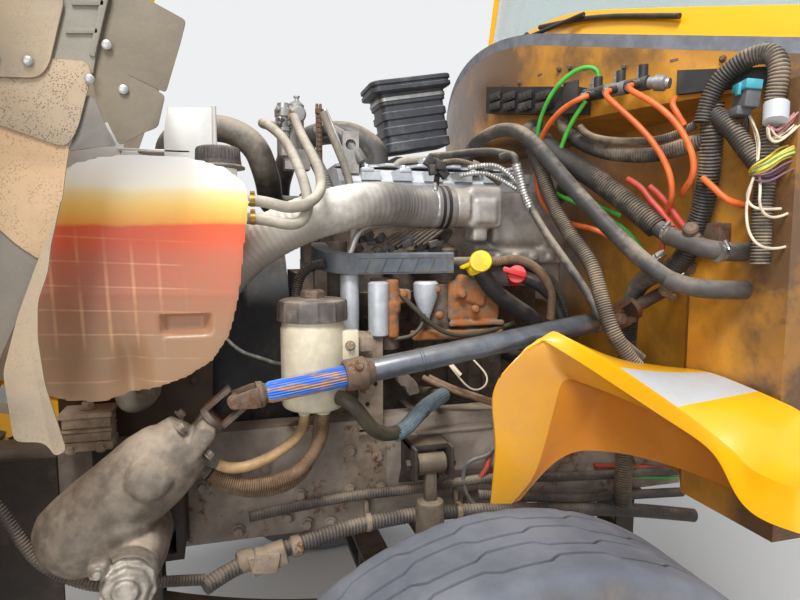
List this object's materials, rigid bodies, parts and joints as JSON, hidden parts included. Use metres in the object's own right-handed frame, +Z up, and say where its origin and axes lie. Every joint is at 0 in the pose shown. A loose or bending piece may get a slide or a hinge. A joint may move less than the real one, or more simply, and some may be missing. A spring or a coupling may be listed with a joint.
{
  "type": "bus front end",
  "caption": "Front end of a bonneted school bus: frame, engine, steering, axle and wheels, cowl and windshield, with its hood tipped forward.",
  "frame": {"origin": "middle of the rear face of the rear crossmember, where the front end leaves the rest of the bus", "axes": "+X to the rear of the bus, +Y to its right side, +Z up"},
  "size_m": [2.7242, 2.33, 2.96],
  "materials": {
    "aluminium": "cast and sheet aluminium",
    "black_plastic": "matt",
    "black_rubber": "matt",
    "cast_iron": "dusty cast surface",
    "clear_plastic": "translucent",
    "coloured_plastic": "satin",
    "frame_paint": "dusty black paint",
    "glass": "clear",
    "grey_plastic": "matt, dusty",
    "lamp_lens": "clear",
    "rim_paint": "pale grey paint",
    "steel": "plain steel with light rust",
    "tyre": "worn",
    "white_plastic": "satin",
    "yellow_paint": "gloss paint",
    "yellow_plastic": "satin"
  },
  "bodies": {
    "chassis": {"air_cleaner": "black_plastic", "air_duct": "black_rubber", "air_lines": "coloured_plastic", "bumper": "frame_paint", "charge_air_hose": "black_rubber", "charge_cooler": "aluminium", "coolant_lines": "black_rubber", "cowl": "yellow_paint", "cowl_looms": "black_rubber", "cowl_strip": "black_rubber", "crossmembers": "frame_paint", "engine": "cast_iron", "engine_fittings": "steel", "engine_hoses": "black_rubber", "fan_shroud": "black_plastic", "fender_extensions": "yellow_paint", "filler_caps": "yellow_plastic", "filler_tubes": "black_plastic", "filter_housings": "aluminium", "fluid_reservoir": "white_plastic", "frame_looms": "black_rubber", "frame_rails": "frame_paint", "front_axle": "frame_paint", "gear_bracket": "frame_paint", "harness_tray": "black_plastic", "heater_hoses": "black_rubber", "hood_hinge": "frame_paint", "intake_casting": "aluminium", "leaf_springs": "frame_paint", "radiator": "aluminium", "relay_box": "black_plastic", "reservoir_lid": "black_plastic", "shock_absorbers": "frame_paint", "steering_gear": "cast_iron", "steering_hoses": "black_rubber", "surge_cap": "black_plastic", "surge_tank": "clear_plastic", "tank_brackets": "steel", "valve_cover": "aluminium", "windshield_frame": "yellow_paint", "windshield_glass": "glass", "wipers": "black_plastic"},
    "fan": {"fan": "black_plastic"},
    "hood": {"hood_shell": "yellow_paint", "splash_shields": "grey_plastic", "grille": "black_plastic", "headlamps": "lamp_lens"},
    "steering_shaft": {"steering_shaft": "steel"},
    "gear_yoke": {"gear_yoke": "steel"},
    "column_yoke": {"column_yoke": "steel"},
    "pitman_arm": {"pitman_arm": "cast_iron"},
    "drag_link": {"drag_link": "steel"},
    "tie_rod": {"tie_rod": "steel"},
    "knuckle_left": {"knuckle_left": "cast_iron"},
    "knuckle_right": {"knuckle_right": "cast_iron"},
    "wheel_left": {"tyre_left": "tyre", "rim_left": "rim_paint"},
    "wheel_right": {"tyre_right": "tyre", "rim_right": "rim_paint"}
  },
  "joints": [
    {"name": "hood_tilt", "type": "hinge", "parent": "chassis", "child": "hood", "pos_m": [-1.79, 0, -0.07], "axis": [0, 1, 0], "range_deg": [0, 70]},
    {"name": "fan_spin", "type": "hinge", "parent": "chassis", "child": "fan", "pos_m": [-1.14, 0, 0.25], "axis": [1, 0, 0], "continuous": true},
    {"name": "steer_left", "type": "hinge", "parent": "chassis", "child": "knuckle_left", "pos_m": [-0.8, -0.89, -0.395], "axis": [0, 0, 1], "range_deg": [-33, 33]},
    {"name": "steer_right", "type": "hinge", "parent": "chassis", "child": "knuckle_right", "pos_m": [-0.8, 0.89, -0.395], "axis": [0, 0, 1], "range_deg": [-33, 33]},
    {"name": "wheel_spin_left", "type": "hinge", "parent": "knuckle_left", "child": "wheel_left", "pos_m": [-0.8, -1.03, -0.395], "axis": [0, 1, 0], "continuous": true},
    {"name": "wheel_spin_right", "type": "hinge", "parent": "knuckle_right", "child": "wheel_right", "pos_m": [-0.8, 1.03, -0.395], "axis": [0, 1, 0], "continuous": true},
    {"name": "pitman_swing", "type": "hinge", "parent": "chassis", "child": "pitman_arm", "pos_m": [-1.411, -0.74, -0.015], "axis": [0, 1, 0], "range_deg": [-37.5, 37.5]},
    {"name": "drag_link_pivot", "type": "hinge", "parent": "pitman_arm", "child": "drag_link", "pos_m": [-1.411, -0.585, -0.256], "axis": [0, 1, 0], "range_deg": [-37.5, 37.5]},
    {"name": "tie_rod_pivot", "type": "hinge", "parent": "knuckle_left", "child": "tie_rod", "pos_m": [-0.61, -0.89, -0.446], "axis": [0, 0, 1], "range_deg": [-33, 33]},
    {"name": "shaft_spin", "type": "hinge", "parent": "chassis", "child": "steering_shaft", "pos_m": [-1.228, -0.636, 0.256], "axis": [0.989, 0.0569, 0.1362], "range_deg": [-660, 660]},
    {"name": "gear_yoke_spin", "type": "hinge", "parent": "chassis", "child": "gear_yoke", "pos_m": [-1.228, -0.636, 0.256], "axis": [0.7716, 0, 0.6361], "range_deg": [-660, 660]},
    {"name": "column_yoke_spin", "type": "hinge", "parent": "chassis", "child": "column_yoke", "pos_m": [-0.342, -0.585, 0.378], "axis": [0.9135, 0, 0.4067], "range_deg": [-660, 660]}
  ],
  "couplings": [
    {"joint": "steer_right", "follows": "steer_left", "ratio": 1},
    {"joint": "pitman_swing", "follows": "steer_left", "ratio": 1.13},
    {"joint": "drag_link_pivot", "follows": "steer_left", "ratio": -1.13},
    {"joint": "tie_rod_pivot", "follows": "steer_left", "ratio": -1},
    {"joint": "shaft_spin", "follows": "steer_left", "ratio": 20},
    {"joint": "gear_yoke_spin", "follows": "steer_left", "ratio": 20},
    {"joint": "column_yoke_spin", "follows": "steer_left", "ratio": 20}
  ]
}
